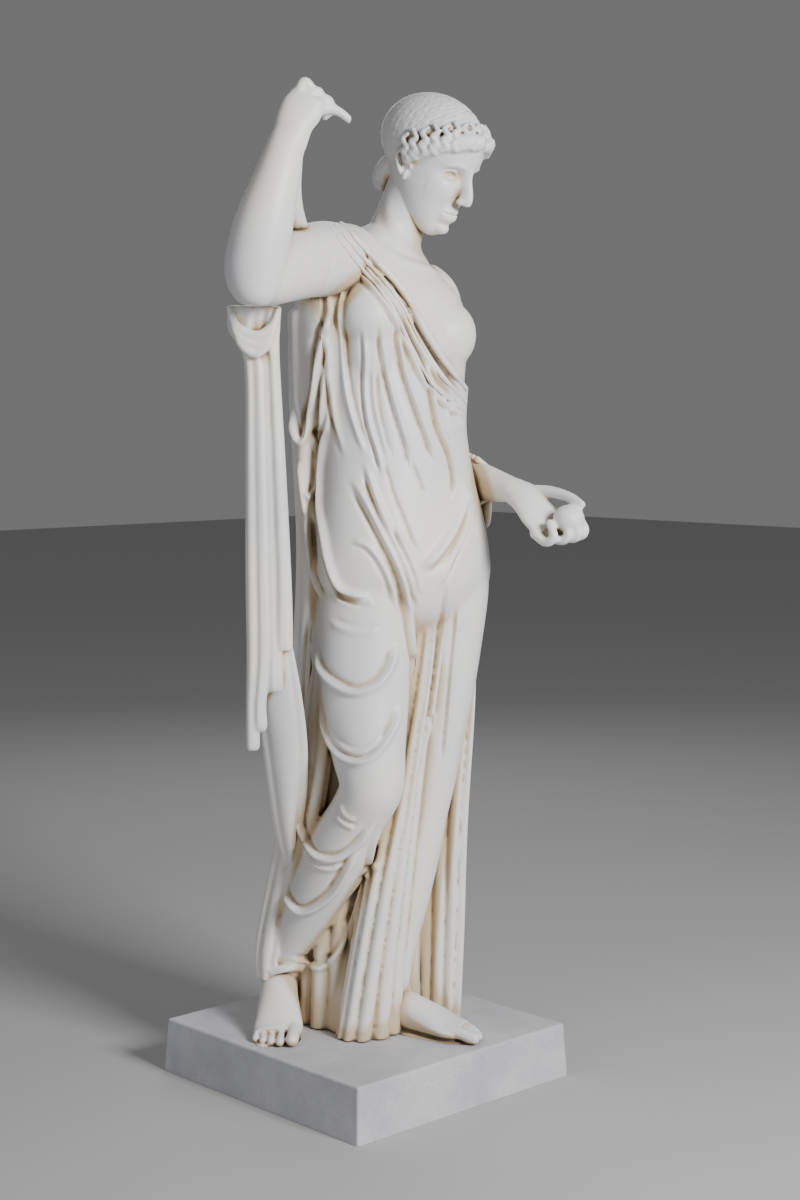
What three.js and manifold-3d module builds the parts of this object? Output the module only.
// A life-size draped female figure standing on a low square plinth.
//
// Units are millimetres and +Z is up.  The origin is the middle of the plinth's
// underside.  The plinth's front is -Y, the figure's left is +X and her right is -X.
// The figure is one stone: every limb, fold and lock is a closed skin through a few
// oval sections, and all the skins are joined into one solid.

import * as THREE from 'three';
import { mergeVertices } from 'three/addons/utils/BufferGeometryUtils.js';
import Module from 'manifold-3d';

const wasm = await Module();
wasm.setup();

// ---------------------------------------------------------------- driving sizes

const PLINTH_WIDTH = 496;
const PLINTH_DEPTH = 508;
const PLINTH_HEIGHT = 95;
const PLINTH_BATTER = 5.5; // each side leans out this much towards the floor
const PLINTH_ARRIS = 5; // the worn edge round the top
const BED_JOINT = 0.3; // gap between the figure's soles and the plinth

const GROUND = PLINTH_HEIGHT + BED_JOINT;
const COMPOSED_FROM = 43.5; // the figure is composed to be seen this far round to her right

// joints of the body, as [x, y, z]
const RIGHT_SHOULDER = [-112, -36, 1432];
const RIGHT_ELBOW = [-350, -126, 1392];
const RIGHT_WRIST = [-307, -164, 1608];
const LEFT_SHOULDER = [144, -22, 1374];
const LEFT_ELBOW = [204, 26, 1088];
const LEFT_WRIST = [166, -206, 1044];
const RIGHT_HIP = [-34, -50, 920];
const RIGHT_KNEE = [-82, -106, 548];
const RIGHT_ANKLE = [-104, 96, 205];
const LEFT_HIP = [130, -66, 918];
const LEFT_KNEE = [80, -76, 549];
const LEFT_ANKLE = [8, -58, 186];
const HEAD_CENTRE = [72, -95, 1612];

const HEAD_TURN = 12; // degrees towards her left
const HEAD_NOD = 24; // degrees down
const FINGER_RADIUS = 8;
const APPLE_RADIUS = 27;
const APPLE_CENTRE = [176, -320, 999];

const ACROSS = [1, 0, 0];

// ---------------------------------------------------------------- small helpers

const vector = (p) => new THREE.Vector3(...p);
const radians = THREE.MathUtils.degToRad;
const plain = () => 0;

// A closed geometry becomes a solid that can be joined and cut.
function solid(geometry) {
  geometry.deleteAttribute('normal');
  geometry.deleteAttribute('uv');
  const merged = mergeVertices(geometry);
  return new wasm.Manifold(new wasm.Mesh({
    numProp: 3,
    vertProperties: new Float32Array(merged.attributes.position.array),
    triVerts: new Uint32Array(merged.index.array),
  }));
}

// A solid becomes a geometry again.
function geometryOf(body) {
  const mesh = body.getMesh();
  const geometry = new THREE.BufferGeometry();
  geometry.setAttribute('position', new THREE.BufferAttribute(mesh.vertProperties, 3));
  geometry.setIndex(new THREE.BufferAttribute(mesh.triVerts, 1));
  geometry.computeVertexNormals();
  return geometry;
}

const join = (bodies) => bodies.reduce((whole, body) => whole.add(body));

// A closed skin through a row of oval sections, each [x, y, z, half width, half depth, turn].
// The width lies along `across`, turned by `turn` degrees about the row's own direction.
// A level skin keeps its sections flat and is listed upwards.  relief(angle, t) stands the skin proud, in mm:
// the angle is 0 at the front and a quarter turn at the end of the width.
function skin(sections, { sides = 12, steps = 10, across = ACROSS, level = false, relief = plain } = {}) {
  const path = new THREE.CatmullRomCurve3(sections.map((s) => vector(s.slice(0, 3))));
  const sizes = new THREE.CatmullRomCurve3(
    sections.map((s) => new THREE.Vector3(s[3], s[4] ?? s[3], s[5] ?? 0)));
  const geometry = new THREE.CylinderGeometry(1, 1, 1, sides, steps);
  const position = geometry.attributes.position;
  for (let i = 0; i < position.count; i += 1) {
    const x = position.getX(i);
    const z = position.getZ(i);
    const t = position.getY(i) + 0.5;
    const centre = path.getPoint(t);
    const size = sizes.getPoint(t);
    const along = level ? new THREE.Vector3(0, 0, 1) : path.getTangent(t);
    const width = vector(across).addScaledVector(along, -along.dot(vector(across))).normalize();
    width.applyAxisAngle(along, radians(size.z));
    const depth = new THREE.Vector3().crossVectors(width, along);
    const lift = x || z ? relief(Math.atan2(x, z), t) : 0;
    centre.addScaledVector(width, x * (size.x + lift));
    centre.addScaledVector(depth, z * (size.y + lift));
    position.setXYZ(i, centre.x, centre.y, centre.z);
  }
  return solid(geometry);
}

// A rounded stick through a few points, such as a finger, a toe or a roll of cloth.
function roll(points, radius, { end = radius * 0.6, sides = 5, steps = 4 } = {}) {
  const last = points.length - 1;
  const sections = points.map((p, i) => {
    const r = i === last ? end : radius;
    return [...p, r, r];
  });
  return skin(sections, { sides, steps });
}

// A ball with three different radii.
function ball(centre, [rx, ry, rz], sides = 9) {
  const geometry = new THREE.SphereGeometry(1, sides, Math.round(sides * 0.6));
  geometry.rotateX(Math.PI / 2);
  geometry.scale(rx, ry, rz);
  geometry.translate(...centre);
  return solid(geometry);
}

// ---------------------------------------------------------------- trunk

// Flat sections from the groin to the root of the neck.
const TRUNK = [
  [50, -50, 770, 60, 34, -3],
  [48, -52, 824, 132, 82, -3],
  [46, -50, 884, 168, 112, -2],
  [44, -50, 940, 168, 118, 0],
  [40, -48, 1010, 157, 113, 0],
  [33, -46, 1080, 142, 108, 0],
  [28, -43, 1150, 135, 103, -2],
  [30, -40, 1220, 138, 102, -5],
  [32, -36, 1300, 144, 102, -7],
  [26, -32, 1370, 146, 94, -7],
  [6, -28, 1425, 114, 70, -4],
  [16, -24, 1466, 78, 54, 0],
  [38, -22, 1498, 48, 46, 0],
];

function trunk() {
  const core = skin(TRUNK, { sides: 16, steps: 12, level: true });
  const flank = skin([
    [-62, -14, 1150, 58, 62],
    [-82, -6, 1250, 56, 64],
    [-92, -6, 1330, 50, 62],
    [-98, -14, 1400, 44, 52],
  ], { sides: 9, steps: 4, level: true });
  const leftBreast = ball([104, -96, 1312], [60, 56, 62]);
  const rightBreast = ball([-62, -82, 1340], [62, 50, 64]);
  const belly = ball([38, -108, 1010], [82, 50, 105]);
  const seat = ball([46, 2, 920], [118, 68, 96]);
  return join([core, flank, leftBreast, rightBreast, belly, seat]);
}

function neck() {
  return skin([
    [38, -22, 1430, 64, 56],
    [42, -28, 1478, 50, 48],
    [52, -44, 1520, 44, 45],
    [64, -66, 1572, 46, 50],
  ], { sides: 9, steps: 4 });
}

// ---------------------------------------------------------------- head

const headLeft = new THREE.Vector3(Math.cos(radians(HEAD_TURN)), Math.sin(radians(HEAD_TURN)), 0);
const headFront = new THREE.Vector3(
  Math.sin(radians(HEAD_TURN)) * Math.cos(radians(HEAD_NOD)),
  -Math.cos(radians(HEAD_TURN)) * Math.cos(radians(HEAD_NOD)),
  -Math.sin(radians(HEAD_NOD)));
const headUp = new THREE.Vector3().crossVectors(headFront, headLeft);

// A place on the head: so far to her left, to the front and up from its middle.
function onHead(left, front, up) {
  return vector(HEAD_CENTRE)
    .addScaledVector(headLeft, left)
    .addScaledVector(headFront, front)
    .addScaledVector(headUp, up)
    .toArray();
}

// Sections up the head, each [front, up, half width, half depth].
const SKULL = [
  [62, -116, 16, 12],
  [52, -106, 28, 26],
  [38, -88, 42, 44],
  [22, -60, 54, 62],
  [8, -28, 62, 78],
  [-2, 6, 70, 92],
  [-6, 40, 76, 98],
  [-8, 70, 66, 86],
  [-8, 94, 44, 58],
  [-8, 106, 16, 20],
];

function head() {
  const headAxis = headLeft.toArray();
  const skull = skin(SKULL.map(([front, up, w, d]) => [...onHead(0, front, up), w, d]),
    { sides: 12, steps: 10, across: headAxis });
  const nose = skin([
    [...onHead(0, 78, 14), 8, 9],
    [...onHead(0, 86, -20), 8, 13],
    [...onHead(0, 93, -44), 10, 12],
    [...onHead(0, 84, -54), 8, 8],
  ], { sides: 6, steps: 4, across: headAxis });
  const bun = skin([
    [...onHead(0, -54, -32), 40, 28],
    [...onHead(0, -72, -56), 38, 28],
    [...onHead(0, -78, -80), 28, 24],
    [...onHead(0, -72, -98), 14, 12],
  ], { sides: 8, steps: 3, across: headAxis });
  const ears = [-1, 1].map((side) => skin([
    [...onHead(side * 62, -8, -36), 7, 9],
    [...onHead(side * 68, -12, -16), 8, 15],
    [...onHead(side * 66, -14, 4), 6, 12],
  ], { sides: 6, steps: 2, across: headAxis }));
  return join([skull, nose, bun, fringe(), ...ears]);
}

// The rolled locks that frame the face, from ear to ear: a scalloped roll.
function fringe() {
  const half = [
    [66, -4, -2],
    [66, 26, 20],
    [50, 62, 38],
    [20, 84, 52],
  ];
  const arc = [...half, ...half.map(([l, f, u]) => [-l, f, u]).reverse()];
  const scallops = 7;
  return skin(arc.map(([l, f, u]) => [...onHead(l, f, u), 17, 15]), {
    sides: 5,
    steps: 14,
    across: headUp.toArray(),
    relief: (angle, t) => 2.5 * Math.cos(2 * Math.PI * scallops * t),
  });
}

// ---------------------------------------------------------------- arms and hands

function rightArm() {
  const upper = skin([
    [-44, -26, 1414, 60, 58],
    [...RIGHT_SHOULDER, 64, 62],
    [-180, -62, 1426, 62, 58],
    [-260, -94, 1408, 55, 50],
    [-322, -116, 1394, 50, 46],
    [-352, -127, 1390, 34, 32],
  ], { sides: 9, steps: 5, across: [0, 0, 1] });
  const lower = skin([
    [RIGHT_ELBOW[0] - 4, RIGHT_ELBOW[1], 1346, 22, 20],
    [RIGHT_ELBOW[0] - 2, RIGHT_ELBOW[1] - 2, 1366, 38, 36],
    [-349, -130, 1410, 48, 46],
    [-340, -144, 1476, 46, 43],
    [-324, -156, 1545, 36, 34],
    [...RIGHT_WRIST, 29, 22],
  ], { sides: 9, steps: 6, across: [0.8, -0.6, 0] });
  return join([upper, lower]);
}

function rightHand() {
  const palm = skin([
    [RIGHT_WRIST[0], RIGHT_WRIST[1], 1596, 27, 20],
    [-298, -169, 1632, 30, 17],
    [-286, -176, 1658, 33, 14],
    [-280, -180, 1674, 26, 10],
  ], { sides: 8, steps: 4, across: [0.73, -0.68, -0.3] });
  const fingers = [
    [[-295, -168, 1668], [-284, -175, 1691], [-274, -179, 1678], [-270, -172, 1664]],
    [[-283, -175, 1668], [-266, -183, 1677], [-256, -181, 1664], [-258, -172, 1653]],
    [[-275, -181, 1656], [-252, -189, 1665], [-242, -187, 1653], [-244, -178, 1642]],
    [[-277, -179, 1642], [-250, -191, 1651], [-230, -196, 1648], [-214, -199, 1637]],
  ].map((points) => roll(points, FINGER_RADIUS));
  const thumb = roll([[-294, -152, 1636], [-276, -148, 1656], [-258, -154, 1662]], FINGER_RADIUS + 1);
  return join([palm, thumb, ...fingers]);
}

function leftArm() {
  return skin([
    [104, -24, 1404, 46, 44],
    [...LEFT_SHOULDER, 50, 50],
    [172, 0, 1320, 46, 48],
    [192, 20, 1210, 42, 44],
    [202, 28, 1140, 39, 42],
    [LEFT_ELBOW[0], LEFT_ELBOW[1] - 12, 1092, 38, 36],
    [192, -60, 1066, 35, 35],
    [176, -130, 1050, 30, 30],
    [...LEFT_WRIST, 26, 22],
  ], { sides: 8, steps: 9 });
}

function leftHand() {
  const palm = skin([
    [LEFT_WRIST[0], -198, 1046, 26, 21],
    [166, -234, 1030, 34, 18],
    [166, -264, 1003, 39, 15],
    [168, -288, 980, 36, 11],
  ], { sides: 8, steps: 4, across: [0.88, 0.1, 0.46] });
  const reach = [308, 324, 332, 330];
  const fingers = reach.map((far, i) => {
    const x = 139 + 18 * i;
    const up = 3 * i;
    return roll([
      [x, -276, 974 + up],
      [x + 3, -far + 8, 961 + up],
      [x + 5, -far - 6, 971 + up],
      [x + 5, -far + 4, 993 + up / 2],
    ], FINGER_RADIUS);
  });
  const thumb = roll([[178, -212, 1044], [186, -264, 1044], [190, -306, 1036], [188, -337, 1024]],
    FINGER_RADIUS + 2);
  const apple = ball(APPLE_CENTRE, [APPLE_RADIUS, APPLE_RADIUS, APPLE_RADIUS - 1]);
  return join([palm, thumb, apple, ...fingers]);
}

// ---------------------------------------------------------------- legs and feet

function leftLeg() {
  return skin([
    [LEFT_HIP[0] - 12, LEFT_HIP[1] + 2, 960, 82, 84],
    [118, -68, 880, 84, 88],
    [108, -72, 790, 78, 82],
    [98, -76, 690, 67, 70],
    [86, -77, 600, 56, 58],
    [...LEFT_KNEE, 51, 54],
    [68, -68, 480, 49, 52],
    [54, -58, 410, 52, 56],
    [36, -58, 320, 44, 48],
    [17, -60, 235, 32, 36],
    [...LEFT_ANKLE, 31, 36],
    [5, -50, 130, 30, 38],
  ], { sides: 10, steps: 10 });
}

function rightLeg() {
  return skin([
    [RIGHT_HIP[0] + 12, RIGHT_HIP[1], 960, 82, 84],
    [-38, -50, 880, 84, 90],
    [-52, -54, 790, 82, 88],
    [-64, -68, 690, 76, 80],
    [-76, -92, 610, 62, 66],
    [...RIGHT_KNEE, 54, 55],
    [-86, -82, 500, 49, 50],
    [-92, -30, 420, 52, 56],
    [-98, 30, 320, 46, 48],
    [-104, 78, 240, 34, 35],
    [RIGHT_ANKLE[0], RIGHT_ANKLE[1] + 4, 190, 31, 33],
    [-100, 104, 150, 27, 30],
  ], { sides: 10, steps: 10 });
}

// A foot is a skin from heel to ball and five toes.  heel and tip are on the ground plan;
// lift is the height of the heel above the ground, and side is +1 when the big toe is
// to the left of the way the foot points.
function foot({ heel, tip, lift, side }) {
  const way = new THREE.Vector2(tip[0] - heel[0], tip[1] - heel[1]);
  const length = way.length();
  way.normalize();
  const place = (forward, sideways, height) => [
    heel[0] + way.x * forward * length - way.y * sideways,
    heel[1] + way.y * forward * length + way.x * sideways,
    GROUND + height,
  ];
  const raised = (forward) => lift * THREE.MathUtils.clamp((0.66 - forward) / 0.55, 0, 1);
  const width = [-way.y, way.x, 0];
  const sole = [
    [0.02, 0, 26, 18, 17],
    [0.1, 0, 33, 30, 31],
    [0.24, 0, 40, 33, 39],
    [0.42, 0, 32, 34, 31],
    [0.58, 2, 25, 39, 24],
    [0.72, 3, 18, 44, 17],
    [0.82, 2, 15, 41, 12],
  ].map(([f, s, h, w, d]) => [...place(f, s * side, h + raised(f)), w, d]);
  const body = skin(sole, { sides: 9, steps: 7, across: width });
  const toes = [29, 9, -6, -21, -36].map((sideways, i) => {
    const radius = i === 0 ? 12 : 7;
    const reach = 0.99 - 0.022 * i * i;
    return roll([
      place(0.74, sideways * side, radius + 3),
      place((0.74 + reach) / 2, (sideways + 1) * side, radius + 2),
      place(reach - 0.02, sideways * side, radius),
    ], radius, { steps: 3 });
  });
  const bed = skin([
    [...place(0.12, 0, 0), 26, raised(0.1) + 8],
    [...place(0.4, 0, 0), 34, raised(0.4) + 8],
    [...place(0.75, 0, 0), 42, 7],
    [...place(0.97, 6 * side, 0), 32, 5],
  ], { sides: 8, steps: 4, across: width });
  return join([body, bed, ...toes]);
}

// ---------------------------------------------------------------- drapery

// Upright pleats round a skin: so many ribs, so deep, drifting round as they fall.
const ribbed = (ribs, depth, drift = 0) => (angle, t) => depth * Math.cos(ribs * angle + drift * t);

// The skirt that falls behind both legs to the ground.
function skirt() {
  return skin([
    [8, 22, GROUND, 138, 104, -12],
    [14, 24, 220, 132, 98, -10],
    [28, 14, 450, 124, 88, -4],
    [42, 0, 700, 128, 80, 0],
    [46, -14, 880, 136, 74, 0],
  ], { sides: 33, steps: 4, level: true, relief: ribbed(11, 8, 2) });
}

// Pleats that hang clear of the left leg, outside it.
function outerPleats() {
  return skin([
    [112, -69, GROUND, 20, 38, 28],
    [128, -62, 260, 20, 40, 26],
    [138, -60, 450, 20, 42, 22],
    [160, -57, 700, 20, 44, 18],
    [164, -54, 880, 16, 38, 12],
  ], { sides: 15, steps: 5, level: true, relief: ribbed(5, 5) });
}

// The bunch of pleats that drops from the groin between the legs and fans at the hem.
function fan() {
  return skin([
    [-44, -62, GROUND, 62, 38, -8],
    [-30, -68, 240, 50, 36, -6],
    [-6, -78, 420, 38, 34, -4],
    [16, -92, 600, 28, 30, 0],
    [38, -110, 760, 26, 28, 0],
    [50, -118, 880, 20, 24, 0],
  ], { sides: 21, steps: 6, level: true, relief: ribbed(7, 5, 1) });
}

// The folds gathered down her right side, ending in a rounded fold above the right foot.
function sideFolds() {
  const main = skin([
    [-122, 22, 1352, 22, 24],
    [-116, 27, 1200, 20, 26],
    [-110, 24, 1100, 20, 28],
    [-104, 19, 960, 22, 30],
    [-100, 25, 822, 24, 32],
    [-102, 42, 640, 24, 32],
    [-106, 68, 446, 26, 28],
    [-134, 98, 250, 22, 24],
    [-142, 102, 178, 14, 16],
  ], { sides: 7, steps: 9 });
  const inner = skin([
    [-92, -58, 900, 14, 18],
    [-112, -30, 760, 16, 20],
    [-112, 0, 560, 18, 24],
    [-116, 50, 360, 18, 22],
    [-118, 76, 250, 14, 16],
  ], { sides: 6, steps: 5 });
  return join([main, inner]);
}

// The mantle: it hangs from the raised upper arm in one long pleated fall.
function mantleFall() {
  const fall = skin([
    [-246, -62, 1408, 30, 24],
    [-258, -34, 1366, 38, 28],
    [-264, -20, 1326, 40, 28],
    [-254, -26, 1280, 26, 20],
    [-250, -30, 1080, 30, 20],
    [-246, -34, 900, 34, 20],
    [-244, -36, 780, 34, 18],
    [-252, -28, 700, 22, 16],
    [-254, -26, 638, 17, 13],
  ], { sides: 15, steps: 8, across: [0.73, -0.69, 0], relief: ribbed(5, 4) });
  const behind = skin([
    [-226, -38, 800, 18, 12],
    [-210, -18, 710, 34, 14],
    [-178, 6, 600, 36, 14],
    [-142, 40, 470, 26, 16],
    [-122, 54, 384, 12, 12],
  ], { sides: 7, steps: 4, across: [0.66, -0.75, 0] });
  return join([fall, behind]);
}

// The edge of the mantle, drawn by the raised hand from the shoulder.
function mantleEdge() {
  return skin([
    [-280, -158, 1640, 8, 9],
    [-272, -142, 1590, 9, 10],
    [-262, -122, 1530, 11, 12],
    [-226, -88, 1486, 14, 14],
    [-156, -26, 1470, 18, 20],
    [-80, 8, 1450, 24, 26],
  ], { sides: 6, steps: 8 });
}

// The mantle on the back: a pleated sheet from the shoulders to the calves.
function mantleBack() {
  return skin([
    [42, 88, 420, 104, 26],
    [48, 82, 520, 124, 34],
    [58, 66, 740, 138, 40],
    [64, 52, 940, 150, 40],
    [64, 46, 1100, 150, 32],
    [48, 42, 1240, 150, 32],
    [40, 34, 1380, 140, 34],
    [36, 22, 1452, 92, 24],
  ], {
    sides: 24,
    steps: 7,
    level: true,
    relief: ribbed(8, 5, 2),
  });
}

// The mantle's end is wound round the left forearm and hangs from it.
function forearmCloth() {
  const cuff = [0, 1].map((i) => skin([
    [200 - 12 * i, -36 - 42 * i, 1108 - 4 * i, 12, 12],
    [226 - 12 * i, -50 - 42 * i, 1078 - 4 * i, 12, 12],
    [206 - 12 * i, -62 - 42 * i, 1036 - 4 * i, 12, 12],
  ], { sides: 6, steps: 4 }));
  const tail = skin([
    [200, -64, 1060, 32, 16],
    [192, -90, 1022, 26, 14],
    [190, -104, 990, 16, 11],
    [190, -106, 974, 8, 6],
  ], { sides: 8, steps: 4, across: [0.4, -0.92, 0] });
  return join([...cuff, tail]);
}

// Ridges of thin cloth.  Each is drawn as it is seen from the side that the figure is
// composed for, as [across, up] points, and laid on the body by a ray from that side.
const RIDGES = [
  // the neckline's rolls, from the right shoulder to under the left breast
  { radius: 11, points: [[-32, 1482], [5, 1446], [63, 1372], [113, 1300], [150, 1246], [166, 1222]] },
  { radius: 9, points: [[-44, 1474], [-10, 1430], [36, 1350], [84, 1270], [146, 1205], [162, 1196]] },
  // folds that run from the breast to the groin
  { radius: 7, points: [[0, 1400], [22, 1300], [30, 1180], [46, 1060], [66, 960]] },
  { radius: 7, points: [[36, 1340], [52, 1240], [66, 1120], [84, 1010]] },
  { radius: 9, points: [[166, 1165], [176, 1080], [170, 1000], [110, 905]] },
  // the open side's hanging loops
  { radius: 9, points: [[-104, 1330], [-98, 1200], [-78, 1105], [-66, 1010], [-50, 900]] },
  { radius: 8, points: [[-56, 1390], [-58, 1260], [-66, 1140], [-84, 1050]] },
  // swags over the right thigh and shin
  { radius: 8, points: [[-74, 760], [-30, 716], [20, 720], [58, 772]] },
  { radius: 8, points: [[-66, 660], [-26, 610], [24, 618], [56, 668]] },
  { radius: 8, points: [[-104, 480], [-60, 436], [-24, 440], [8, 500]] },
  { radius: 8, points: [[-116, 380], [-90, 340], [-60, 340], [-24, 400]] },
];

function ridges(body) {
  const turn = radians(COMPOSED_FROM);
  const away = new THREE.Vector3(Math.sin(turn), Math.cos(turn), 0);
  const sideways = new THREE.Vector3(Math.cos(turn), -Math.sin(turn), 0);
  const target = new THREE.Mesh(geometryOf(body));
  const standOff = 1000;
  const caster = new THREE.Raycaster();
  return RIDGES.map(({ radius, points }) => {
    const laid = points.map(([s, z]) => {
      const start = sideways.clone().multiplyScalar(s).addScaledVector(away, -standOff).setZ(z);
      caster.set(start, away);
      const hit = caster.intersectObject(target)[0];
      return hit.point.addScaledVector(away, radius * 0.35).toArray();
    });
    return roll(laid, radius, { sides: 4, steps: 2 * points.length - 3 });
  });
}

// ---------------------------------------------------------------- the two pieces

function figure() {
  const rightFoot = foot({ heel: [-72, 146], tip: [-218, -10], lift: 56, side: 1 });
  const leftFoot = foot({ heel: [-14, -8], tip: [72, -228], lift: 0, side: -1 });
  const body = join([
    trunk(), neck(), head(), rightArm(), rightHand(), leftArm(), leftHand(),
    leftLeg(), rightLeg(), leftFoot, rightFoot,
    skirt(), outerPleats(), fan(), sideFolds(), mantleFall(), mantleEdge(), mantleBack(), forearmCloth(),
  ]);
  const whole = join([body, ...ridges(body)]);
  const below = new THREE.BoxGeometry(2000, 2000, 400);
  below.translate(0, 0, GROUND - 200);
  return whole.subtract(solid(below));
}

// A square slab: the sides lean out a little and the top's edge is worn round.
function plinth() {
  const outline = [
    [0, 0],
    [PLINTH_WIDTH / 2 + PLINTH_BATTER, 0],
    [PLINTH_WIDTH / 2, PLINTH_HEIGHT - PLINTH_ARRIS],
    [PLINTH_WIDTH / 2 - PLINTH_ARRIS * 0.3, PLINTH_HEIGHT - PLINTH_ARRIS * 0.3],
    [PLINTH_WIDTH / 2 - PLINTH_ARRIS, PLINTH_HEIGHT],
    [0, PLINTH_HEIGHT],
  ];
  const diagonal = outline.map(([r, z]) => new THREE.Vector2(r * Math.SQRT2, z));
  const slab = new THREE.LatheGeometry(diagonal, 4);
  slab.rotateX(Math.PI / 2);
  slab.rotateZ(Math.PI / 4);
  slab.scale(1, PLINTH_DEPTH / PLINTH_WIDTH, 1);
  return solid(slab);
}

function piece(name, body, material) {
  const mesh = new THREE.Mesh(geometryOf(body), material);
  mesh.name = name;
  return mesh;
}

const marble = new THREE.MeshStandardMaterial({ color: 0xe4dfd3, roughness: 0.55, metalness: 0 });
const greyStone = new THREE.MeshStandardMaterial({ color: 0xc4c3c6, roughness: 0.7, metalness: 0 });

const group = new THREE.Group();
group.add(piece('figure', figure(), marble));
group.add(piece('plinth', plinth(), greyStone));

export default group;
